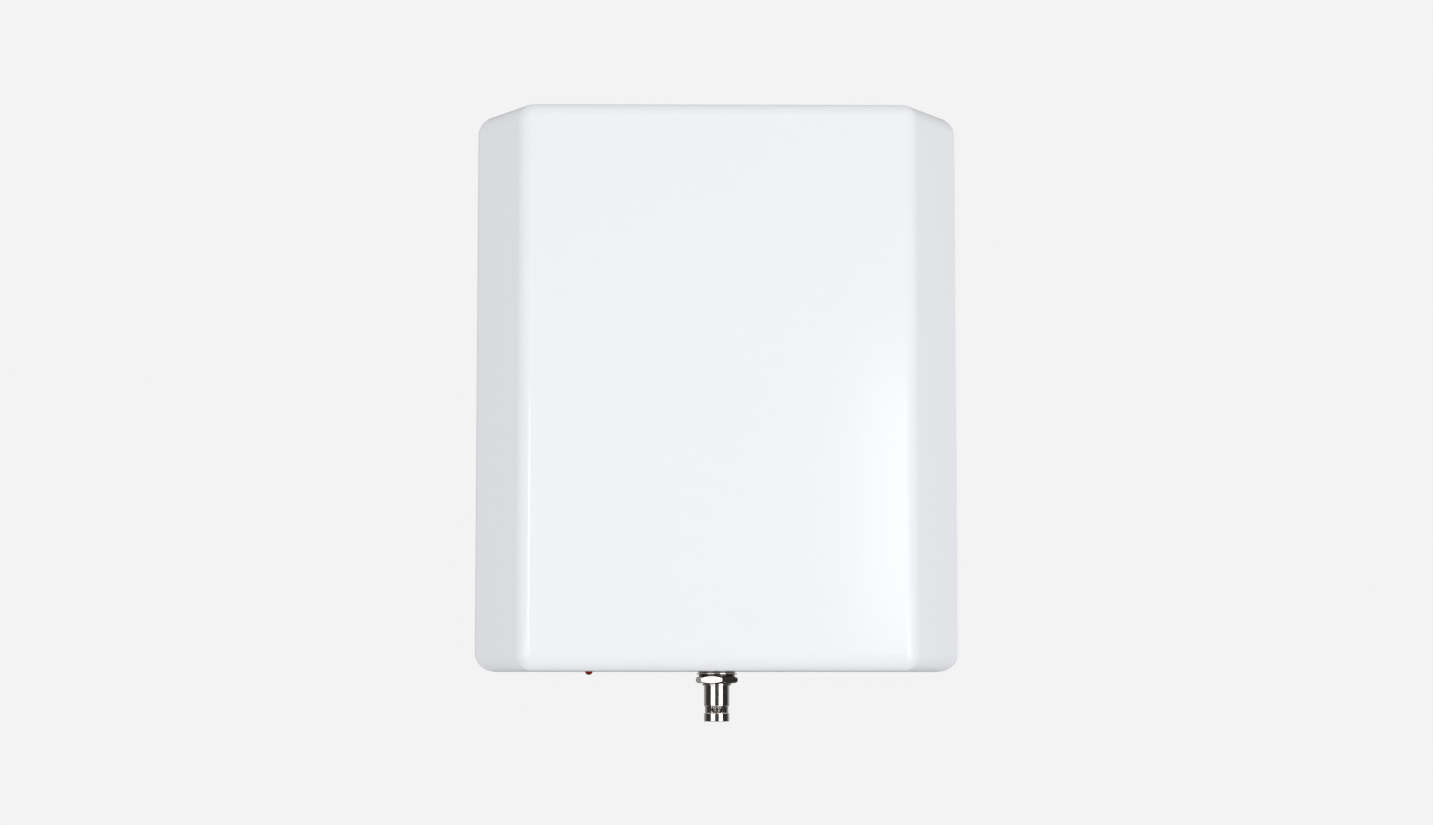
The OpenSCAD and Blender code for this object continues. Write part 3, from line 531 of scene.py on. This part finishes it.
def eased_copy(node, width):
    """Stands for a CAD node with a copy of its mesh whose sharp edges are rounded off."""
    bm = bmesh.new()
    bm.from_mesh(NODES[node].data)
    bmesh.ops.remove_doubles(bm, verts=bm.verts, dist=MERGE_DISTANCE)
    bmesh.ops.dissolve_limit(bm, angle_limit=FLAT_ANGLE, verts=bm.verts, edges=bm.edges)
    sharp = [e for e in bm.edges if len(e.link_faces) == 2 and e.calc_face_angle() > SHARP_ANGLE]
    bmesh.ops.bevel(bm, geom=sharp, offset=width, offset_type="OFFSET", segments=ROUNDING_SEGMENTS,
                    profile=0.5, affect="EDGES", clamp_overlap=True)
    mesh = bpy.data.meshes.new(node + "_eased")
    bm.to_mesh(mesh)
    bm.free()
    mesh.polygons.foreach_set("use_smooth", [True] * len(mesh.polygons))
    piece = add_object(node + "_eased", mesh)
    shading = piece.modifiers.new("even_shading", "WEIGHTED_NORMAL")
    shading.keep_sharp = False
    shading.weight = LARGE_FACE_WEIGHT
    slot = next(part["material_slot"] for part in frame["record"]["subparts"] if part["node"] == node)
    enlist(piece, NODES[node]["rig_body"], slot, node)


# Width of the rounding on the edges of each node that is shown as an eased copy
EASED = {
    "rear_cover": 0.35 * MM,
    "cover_screws": 0.12 * MM,
    "wall_bracket": 0.30 * MM,
    "panel_bracket": 0.30 * MM,
    "panel_bracket_screws": 0.15 * MM,
    "pivot_studs": 0.20 * MM,
    "plain_washers": 0.10 * MM,
    "friction_washers": 0.10 * MM,
    "left_knob": 0.55 * MM,
    "right_knob": 0.55 * MM,
    "jack_nut": 0.10 * MM,
    "jack_outer_seal": 0.12 * MM,
    "jack_flat_washer": 0.08 * MM,
    "jack_lock_washer": 0.08 * MM,
}


# ------------------------------------------------------------------ materials

class Graph:
    """Short calls for the nodes of a material or of the world."""

    def __init__(self, tree):
        self.tree = tree

    def link(self, source, target):
        """Joins an output to an input."""
        self.tree.links.new(source, target)

    def node(self, kind, **values):
        """Adds a node. Values whose names are inputs go to its sockets, the others to the node."""
        made = self.tree.nodes.new(kind)
        for key, value in values.items():
            socket = made.inputs.get(key.replace("_", " "))
            if socket is None:
                setattr(made, key, value)
            elif isinstance(value, bpy.types.NodeSocket):
                self.link(value, socket)
            else:
                socket.default_value = value
        return made

    def math(self, operation, *operands):
        """Result of an operation on values and sockets."""
        made = self.node("ShaderNodeMath", operation=operation)
        for socket, operand in zip(made.inputs, operands):
            if isinstance(operand, bpy.types.NodeSocket):
                self.link(operand, socket)
            else:
                socket.default_value = operand
        return made.outputs[0]

    def spread(self, value, low, high, low_in, high_in):
        """Maps a value from low_in to high_in onto low to high, and holds it there outside."""
        made = self.node("ShaderNodeMapRange", Value=value)
        made.inputs["From Min"].default_value = low_in
        made.inputs["From Max"].default_value = high_in
        made.inputs["To Min"].default_value = low
        made.inputs["To Max"].default_value = high
        return made.outputs["Result"]

    def mix_shaders(self, share, first, second):
        """Shader that is the first where the share is 0 and the second where it is 1."""
        made = self.node("ShaderNodeMixShader")
        self.link(share, made.inputs[0])
        self.link(first, made.inputs[1])
        self.link(second, made.inputs[2])
        return made.outputs[0]


class Surface(Graph):
    """A Principled material with procedural detail, sized in metres of the row frame."""

    def __init__(self, name, color, roughness, **sockets):
        self.material = bpy.data.materials.new(name)
        self.material.use_nodes = True
        super().__init__(self.material.node_tree)
        self.shader = self.tree.nodes["Principled BSDF"]
        self.shader.inputs["Base Color"].default_value = (*color, 1)
        self.shader.inputs["Roughness"].default_value = roughness
        for socket, value in sockets.items():
            self.shader.inputs[socket.replace("_", " ")].default_value = value
        self.place = self.node("ShaderNodeTexCoord").outputs["Object"]

    def noise(self, size, detail):
        """Noise whose blobs are about the given size in metres."""
        return self.node("ShaderNodeTexNoise", Vector=self.place, Scale=1 / size,
                         Detail=detail).outputs["Fac"]

    def marks(self, x, y, z, detail):
        """Noise with so many blobs per metre along each axis, for brushed, turned and tumbled metal."""
        stretched = self.node("ShaderNodeMapping", Vector=self.place, Scale=(x, y, z)).outputs["Vector"]
        return self.node("ShaderNodeTexNoise", Vector=stretched, Scale=1.0,
                         Detail=detail).outputs["Fac"]

    def vary_color(self, value, low_color, high_color, low_in=0.3, high_in=0.7):
        """Blends two colours by a value and feeds the shader's base colour."""
        ramp = self.node("ShaderNodeValToRGB", Fac=value)
        low, high = ramp.color_ramp.elements
        low.position, low.color = low_in, (*low_color, 1)
        high.position, high.color = high_in, (*high_color, 1)
        self.link(ramp.outputs["Color"], self.shader.inputs["Base Color"])

    def vary_roughness(self, value, low, high, low_in=0.3, high_in=0.7):
        """Feeds the shader's roughness from a value."""
        self.link(self.spread(value, low, high, low_in, high_in), self.shader.inputs["Roughness"])

    def relief(self, *layers):
        """Bumps the surface. Each layer is a height value and its depth in metres."""
        normal = None
        for height, depth in layers:
            bump = self.node("ShaderNodeBump", Height=height, Distance=depth, Strength=1.0)
            if normal is not None:
                self.link(normal, bump.inputs["Normal"])
            normal = bump.outputs["Normal"]
        self.link(normal, self.shader.inputs["Normal"])


def tint(color, gain):
    """A colour made lighter or darker."""
    return tuple(min(1.0, c * gain) for c in color)


def moulded_plastic(name, color, roughness, grain_depth, grain_size=0.35 * MM, **sockets):
    """Injection-moulded plastic: a fine grain, duller on its high spots, and faint flow marks."""
    surface = Surface(name, color, roughness, **sockets)
    grain = surface.noise(grain_size, 2.0)
    flow = surface.noise(38 * MM, 1.0)
    surface.vary_color(flow, tint(color, 0.996), tint(color, 1.004), 0.0, 1.0)
    surface.vary_roughness(grain, roughness * 0.85, roughness * 1.15, 0.0, 1.0)
    surface.relief((flow, 2.5 * grain_depth), (grain, grain_depth))
    return surface.material


# Marks per metre along X, Y and Z
LATHE_RINGS = (300, 300, 9000)
TUMBLED_GRAIN = (2500, 2500, 2500)
BRUSH_LINES = (60, 4000, 4000)


def plated_metal(name, color, roughness, pattern=LATHE_RINGS):
    """Plated metal: the fine marks of how it was made, and a slightly uneven polish."""
    surface = Surface(name, color, roughness, Metallic=1.0)
    marks = surface.marks(*pattern, 2.0)
    cloud = surface.noise(2.6 * MM, 3.0)
    surface.vary_color(cloud, tint(color, 0.94), tint(color, 1.04))
    surface.vary_roughness(cloud, roughness * 0.75, roughness * 1.4)
    surface.relief((marks, 0.0012 * MM))
    return surface.material


def brushed_sheet(name, color, roughness):
    """Rolled sheet metal with long brush marks along X."""
    surface = Surface(name, color, roughness, Metallic=1.0)
    brush = surface.marks(*BRUSH_LINES, 4.0)
    cloud = surface.noise(22 * MM, 3.0)
    surface.vary_color(cloud, tint(color, 0.93), tint(color, 1.05))
    surface.vary_roughness(brush, roughness * 0.8, roughness * 1.3)
    surface.relief((brush, 0.003 * MM))
    return surface.material


def powder_coat(name, color):
    """Powder-coated steel: orange-peel skin with a fine fleck."""
    surface = Surface(name, color, 0.42, Specular_IOR_Level=0.5)
    peel = surface.noise(0.9 * MM, 2.0)
    fleck = surface.noise(0.16 * MM, 1.0)
    surface.vary_color(fleck, tint(color, 0.93), tint(color, 1.06))
    surface.vary_roughness(peel, 0.36, 0.5)
    surface.relief((peel, 0.035 * MM), (fleck, 0.006 * MM))
    return surface.material


def rubber(name, color):
    """Silicone rubber from a polished mould: glossy, with a faint bloom."""
    surface = Surface(name, color, 0.22, Specular_IOR_Level=1.0, Coat_Weight=1.0,
                      Coat_Roughness=0.08, Coat_IOR=1.9)
    bloom = surface.noise(1.4 * MM, 4.0)
    surface.vary_color(bloom, tint(color, 0.8), tint(color, 1.4))
    surface.relief((bloom, 0.02 * MM))
    return surface.material


def circuit_laminate(name, color):
    """Solder resist over woven glass: the weave shows as a faint square relief."""
    surface = Surface(name, color, 0.3, Coat_Weight=0.3)
    weave = surface.node("ShaderNodeTexChecker", Vector=surface.place,
                         Scale=1 / (0.45 * MM)).outputs["Fac"]
    cloud = surface.noise(4 * MM, 3.0)
    surface.vary_color(cloud, tint(color, 0.85), tint(color, 1.2))
    surface.relief((weave, 0.004 * MM))
    return surface.material


def led_lens(name, color):
    """Clear red epoxy of an indicator lamp: tinted through, with faint flow lines inside."""
    surface = Surface(name, color, 0.08, IOR=1.52, Transmission_Weight=0.35,
                      Subsurface_Weight=0.25, Subsurface_Scale=0.6 * MM)
    surface.shader.inputs["Subsurface Radius"].default_value = (1.0, 0.12, 0.08)
    flow = surface.noise(0.8 * MM, 2.0)
    surface.vary_color(flow, tint(color, 0.9), tint(color, 1.15))
    surface.relief((flow, 0.01 * MM))
    return surface.material


def make_materials():
    """One material for each slot of the record."""
    return {
        "radome_plastic": moulded_plastic("radome_abs", (0.80, 0.816, 0.847), 0.15, 0.0015 * MM,
                                          0.6 * MM),
        "cover_plastic": moulded_plastic("cover_abs", (0.74, 0.75, 0.76), 0.5, 0.012 * MM),
        "seal_rubber": rubber("silicone_rubber", (0.03, 0.03, 0.03)),
        "screw_steel": plated_metal("zinc_plate", (0.62, 0.63, 0.65), 0.28, TUMBLED_GRAIN),
        "sheet_aluminium": brushed_sheet("mill_aluminium", (0.80, 0.81, 0.82), 0.32),
        "patch_brass": brushed_sheet("brushed_brass", (0.76, 0.58, 0.28), 0.3),
        "turned_brass": plated_metal("turned_brass", (0.78, 0.60, 0.30), 0.25),
        "nylon": moulded_plastic("natural_nylon", (0.74, 0.72, 0.65), 0.38, 0.008 * MM,
                                 Subsurface_Weight=0.15, Subsurface_Scale=1.0 * MM),
        "ptfe": moulded_plastic("white_ptfe", (0.82, 0.82, 0.80), 0.45, 0.005 * MM,
                                Subsurface_Weight=0.2, Subsurface_Scale=0.8 * MM),
        "gold_plate": plated_metal("gold_plate", (0.86, 0.62, 0.26), 0.18),
        "board_laminate": circuit_laminate("board_laminate", (0.02, 0.11, 0.04)),
        "tinned_steel": brushed_sheet("bright_tin", (0.72, 0.73, 0.74), 0.25),
        "chip_epoxy": moulded_plastic("chip_epoxy", (0.022, 0.022, 0.025), 0.55, 0.01 * MM, 0.12 * MM),
        "ceramic": moulded_plastic("fired_ceramic", (0.36, 0.26, 0.17), 0.6, 0.008 * MM, 0.15 * MM),
        "ferrite": moulded_plastic("ferrite", (0.05, 0.05, 0.055), 0.6, 0.015 * MM, 0.2 * MM),
        "can_aluminium": plated_metal("drawn_aluminium", (0.78, 0.79, 0.80), 0.3),
        "led_epoxy": led_lens("led_epoxy", (0.24, 0.006, 0.006)),
        "coax_jacket": moulded_plastic("fep_jacket", (0.16, 0.05, 0.015), 0.3, 0.004 * MM),
        "nickel_plate": plated_metal("bright_nickel", (0.70, 0.66, 0.61), 0.07),
        "black_oxide": plated_metal("black_oxide_steel", (0.075, 0.068, 0.06), 0.28),
        "bracket_paint": powder_coat("grey_powder_coat", (0.50, 0.51, 0.52)),
        "knob_plastic": moulded_plastic("knob_nylon", (0.018, 0.018, 0.02), 0.45, 0.02 * MM, 0.5 * MM),
    }


def dress():
    """Gives every CAD node the material of its slot."""
    for part in frame["record"]["subparts"]:
        mesh = NODES[part["node"]].data
        mesh.materials.clear()
        mesh.materials.append(MATERIALS[part["material_slot"]])


# ------------------------------------------------------------------ studio

BACKGROUND = (0.896, 0.896, 0.896, 1)
# Strength of the soft light from every side alike, and the extra from each main direction: from above,
# from below, from the right and from behind
AMBIENT = 0.57
GLOWS = (("Z", 1, 0.27), ("Z", -1, 0.07), ("X", 1, 0.12), ("Y", 1, 0.10))
# What shiny surfaces mirror: a dark room. Each row is an axis of the direction, the brightness at two
# places along it and those two places. The brightest row counts
ROOM = (
    ("Y", 0.075, 0.008, -0.70, 0.10),
    ("Z", 0, 0.06, -0.10, -0.40),
    ("Y", 0, 0.34, 0.33, 0.50),
    ("X", 0, 0.048, -0.35, -0.80),
    ("X", 0, 0.038, 0.55, 0.95),
)
# The floor, in metres: how far below the object it lies, its radius, and where it fades out
FLOOR_DROP = 0.16
FLOOR_R = 30
FLOOR_SIDES = 96
FLOOR_FADE = (0.15, 0.55)
# Distance of the upright soft boxes from the jack
BOX_DISTANCE = 0.9
# Place and aim of the camera, found by fitting the outline
CAMERA_LENS = 78.43
CAMERA_RIGHT = -16.3 * MM
CAMERA_DISTANCE = 1.1591
CAMERA_DROP = 12.0 * MM
CAMERA_PITCH = 0.09287
CAMERA_YAW = -0.0136


def make_world():
    """Even pale ground for the camera, soft light for matt surfaces, and for shiny ones a dark room.

    The room has a pale wall behind the object. It is a little lighter in front, below, on the left and
    on the right.
    """
    world = bpy.data.worlds.new("studio")
    bpy.context.scene.world = world
    world.use_nodes = True
    world.node_tree.nodes.clear()
    graph = Graph(world.node_tree)
    place = graph.node("ShaderNodeTexCoord").outputs["Generated"]
    axes = graph.node("ShaderNodeSeparateXYZ", Vector=place).outputs
    soft = AMBIENT
    for axis, sign, strength in GLOWS:
        lobe = graph.math("MAXIMUM", graph.math("MULTIPLY", axes[axis], sign), 0.0)
        soft = graph.math("ADD", graph.math("MULTIPLY", lobe, strength), soft)
    mirrored = 0.0
    for axis, *levels in ROOM:
        mirrored = graph.math("MAXIMUM", graph.spread(axes[axis], *levels), mirrored)
    seen = graph.node("ShaderNodeBackground", Color=BACKGROUND)
    lit = graph.node("ShaderNodeBackground", Color=soft)
    shiny = graph.node("ShaderNodeBackground", Color=mirrored)
    path = graph.node("ShaderNodeLightPath").outputs
    both = graph.mix_shaders(path["Is Glossy Ray"], lit.outputs[0], shiny.outputs[0])
    out = graph.node("ShaderNodeOutputWorld")
    graph.link(graph.mix_shaders(path["Is Camera Ray"], both, seen.outputs[0]), out.inputs["Surface"])


def make_floor():
    """Plain pale floor below the object: lit near by, and fading into the background far away."""
    bm = bmesh.new()
    bmesh.ops.create_circle(bm, cap_ends=True, segments=FLOOR_SIDES, radius=FLOOR_R)
    mesh = bpy.data.meshes.new("floor")
    bm.to_mesh(mesh)
    bm.free()
    floor = add_object("floor", mesh)
    floor.location = (0, 0, CAD_BOX[0][2] - FLOOR_DROP)
    surface = Surface("floor_paper", (0.86, 0.86, 0.86), 0.9, Specular_IOR_Level=0.1)
    grain = surface.noise(1.2 * MM, 3.0)
    surface.vary_color(grain, (0.85, 0.85, 0.85), (0.87, 0.87, 0.87))
    glow = surface.node("ShaderNodeEmission", Color=BACKGROUND)
    length = surface.node("ShaderNodeVectorMath", operation="LENGTH")
    surface.link(surface.place, length.inputs[0])
    fade = surface.spread(length.outputs["Value"], 0, 1, *FLOOR_FADE)
    blended = surface.mix_shaders(fade, surface.shader.outputs[0], glow.outputs[0])
    surface.link(blended, surface.tree.nodes["Material Output"].inputs["Surface"])
    mesh.materials.append(surface.material)
    floor.visible_glossy = False


def soft_light(name, width, height, brightness, shiny=True):
    """Soft box of a size in metres, which a mirror shows with the given brightness.

    A box that isn't shiny lights only matt surfaces.
    """
    data = bpy.data.lights.new(name, "AREA")
    data.shape = "RECTANGLE"
    data.size = width
    data.size_y = height
    data.energy = brightness * math.pi * width * height
    light = add_object(name, data)
    light.visible_camera = False
    light.visible_glossy = shiny
    return light


def upright_box(name, azimuth, low, high, width, brightness):
    """Soft box that faces the jack, azimuth degrees to the right of the front, from low to high."""
    light = soft_light(name, width, high - low, brightness)
    jack = centre_of("jack_body")
    turn = math.radians(azimuth)
    light.location = (BOX_DISTANCE * math.sin(turn), jack.y - BOX_DISTANCE * math.cos(turn),
                      (low + high) / 2)
    light.rotation_euler = (math.pi / 2, 0, turn)


def aimed_box(name, place, width, height, brightness, shiny=True):
    """Soft box at a place, turned towards the middle of the housing."""
    light = soft_light(name, width, height, brightness, shiny)
    middle = (RADOME_LO + RADOME_HI) / 2
    light.location = place
    light.rotation_euler = (middle - Vector(place)).to_track_quat("-Z", "Y").to_euler()


def make_lights():
    """Two low soft boxes for the jack, two strips for the housing's edges, and four boxes round it.

    The left strip draws a thin bright line on the housing, and the right strip a wide glow.
    """
    upright_box("box_left", -36, -0.50, -0.085, 0.62, 1.9)
    upright_box("box_right", 35, -0.50, -0.085, 0.50, 4.0)
    upright_box("strip_left", -19, -0.080, 0.07, 0.08, 11.5)
    upright_box("strip_right", 19.5, -0.080, 0.10, 0.38, 2.4)
    aimed_box("top", (0, -0.5, 2.0), 1.4, 1.0, 0.8, shiny=False)
    aimed_box("front_top", (0, -1.1, 0.72), 0.50, 0.30, 0.9)
    aimed_box("rear_key", (-1.0, 2.0, 1.0), 0.9, 0.9, 2.2, shiny=False)
    aimed_box("rear_fill", (1.1, 1.9, 0.2), 0.8, 1.2, 0.6)


def make_camera():
    """Just below the panel's bottom edge, looking slightly up, a long way off."""
    camera = add_object("camera", bpy.data.cameras.new("camera"))
    camera.data.sensor_width = 36
    camera.data.lens = CAMERA_LENS
    camera.data.clip_start = 0.01
    camera.data.clip_end = 100
    camera.location = (CAMERA_RIGHT, FRONT_Y - CAMERA_DISTANCE, RADOME_LO.z - CAMERA_DROP)
    camera.rotation_euler = (math.pi / 2 + CAMERA_PITCH, 0, CAMERA_YAW)
    bpy.context.scene.camera = camera


# ------------------------------------------------------------------ assembly

def main():
    """Builds the camera, the pieces, their materials and the studio."""
    make_camera()
    MATERIALS.update(make_materials())
    dress()
    make_radome()
    make_jack_body()
    make_lamp()
    for node, width in EASED.items():
        eased_copy(node, width)
    make_world()
    make_floor()
    make_lights()
    bpy.context.scene.view_settings.view_transform = "Standard"


main()
